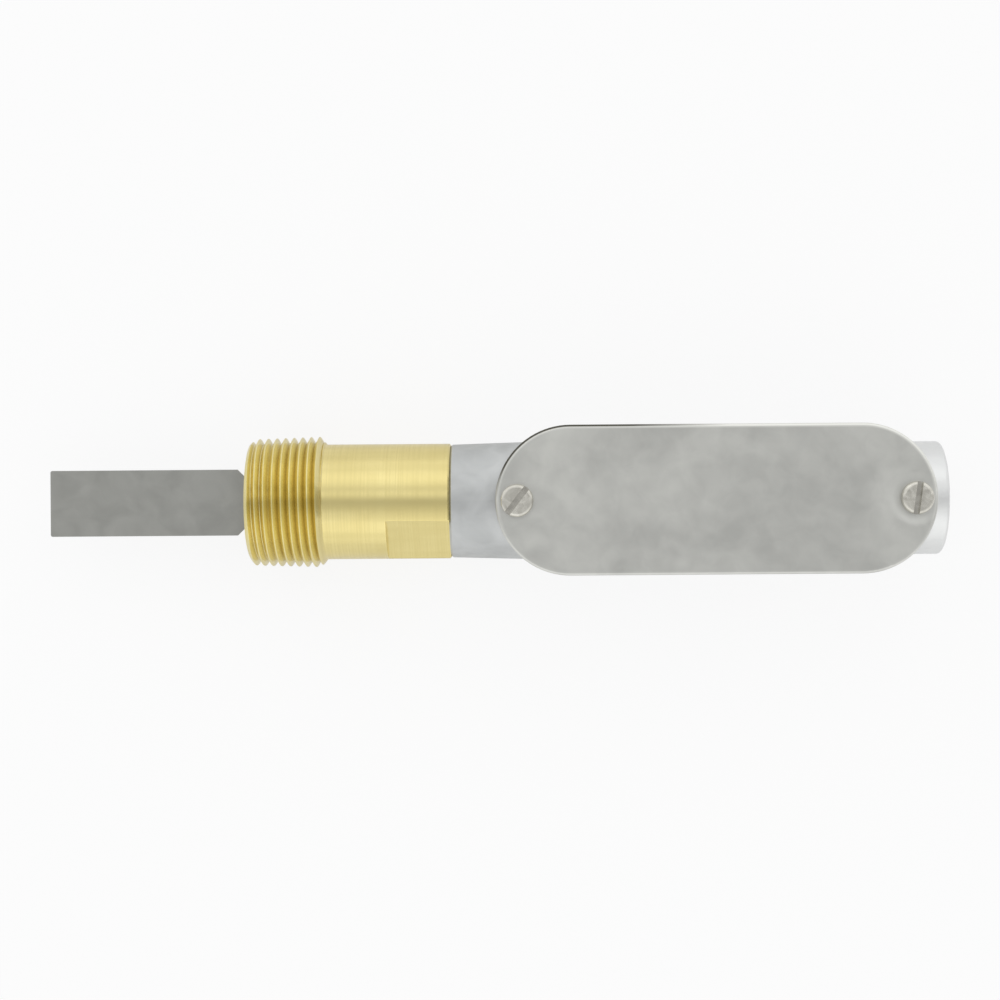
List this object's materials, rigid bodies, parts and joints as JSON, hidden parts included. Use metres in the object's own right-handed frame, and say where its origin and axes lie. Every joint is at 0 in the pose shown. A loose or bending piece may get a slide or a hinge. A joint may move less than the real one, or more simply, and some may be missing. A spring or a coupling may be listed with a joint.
{
  "type": "paddle flow switch",
  "caption": "Magnetically coupled paddle flow switch: a steel vane on a brass pipe-thread body with a cast conduit housing, snap switch and screwed cover.",
  "frame": {"origin": "centre of the process connection's end face, on the pipe thread's axis", "axes": "+X along the pipe thread's axis to the conduit entry, +Z square to the cover, outwards, +Y along the vane's pivot"},
  "size_m": [0.2292, 0.0376, 0.0375],
  "materials": {
    "process_brass": "machined brass, satin",
    "vane_steel": "dull rolled stainless steel",
    "stainless": "turned stainless steel",
    "spring_steel": "drawn spring wire",
    "magnet_ferrite": "ground ferrite",
    "cast_aluminium": "cast and tumbled aluminium",
    "gasket_rubber": "die-cut sheet rubber",
    "cover_steel": "satin stainless sheet",
    "screw_nickel": "nickel-plated steel",
    "zinc_steel": "zinc-plated steel",
    "lever_brass": "stamped brass",
    "terminal_brass": "stamped brass",
    "switch_case_plastic": "black moulded phenolic",
    "switch_lid_plastic": "dark moulded phenolic",
    "plunger_plastic": "red moulded plastic",
    "ground_green": "green dyed zinc plate"
  },
  "bodies": {
    "root": {"process_body": "process_brass", "hinge_yoke": "process_brass", "pivot_pin": "stainless", "return_spring": "spring_steel", "housing": "cast_aluminium", "cover_gasket": "gasket_rubber", "lever_bracket": "zinc_steel", "lever_pin": "stainless", "lever_pin_clips": "spring_steel", "switch_case": "switch_case_plastic", "switch_lid": "switch_lid_plastic", "terminal_common": "terminal_brass", "terminal_normally_open": "terminal_brass", "terminal_normally_closed": "terminal_brass", "terminal_screws": "zinc_steel", "switch_screws": "zinc_steel", "switch_nuts": "zinc_steel", "bracket_screws": "zinc_steel", "ground_washer": "terminal_brass", "ground_screw": "ground_green"},
    "vane_assembly": {"vane_carrier": "stainless", "vane": "vane_steel", "vane_rivets": "stainless", "vane_magnet": "magnet_ferrite"},
    "lever_assembly": {"magnet_lever": "lever_brass", "lever_magnet": "magnet_ferrite"},
    "plunger": {"switch_plunger": "plunger_plastic"},
    "cover": {"cover_plate": "cover_steel", "cover_screws": "screw_nickel"}
  },
  "joints": [
    {"name": "vane_swing", "type": "hinge", "parent": "root", "child": "vane_assembly", "pos_m": [0.013, 0, 0], "axis": [0, 1, 0], "range_deg": [0, 20], "stiffness_Nm_per_rad": 0.02, "springref_deg": -11.46, "deforming": ["return_spring"]},
    {"name": "lever_swing", "type": "hinge", "parent": "root", "child": "lever_assembly", "pos_m": [0.079, 0, -0.0035], "axis": [0, 1, 0], "range_deg": [-4.5, 0]},
    {"name": "plunger_travel", "type": "slide", "parent": "root", "child": "plunger", "axis": [0, 0, 1], "range_m": [0, 0.00125]},
    {"name": "cover_lift", "type": "slide", "parent": "root", "child": "cover", "axis": [0, 0, 1], "range_m": [0, 0.04]}
  ],
  "couplings": [
    {"joint": "lever_swing", "follows": "vane_swing", "ratio": -0.225},
    {"joint": "plunger_travel", "follows": "vane_swing", "m_per_rad": 0.003484}
  ]
}
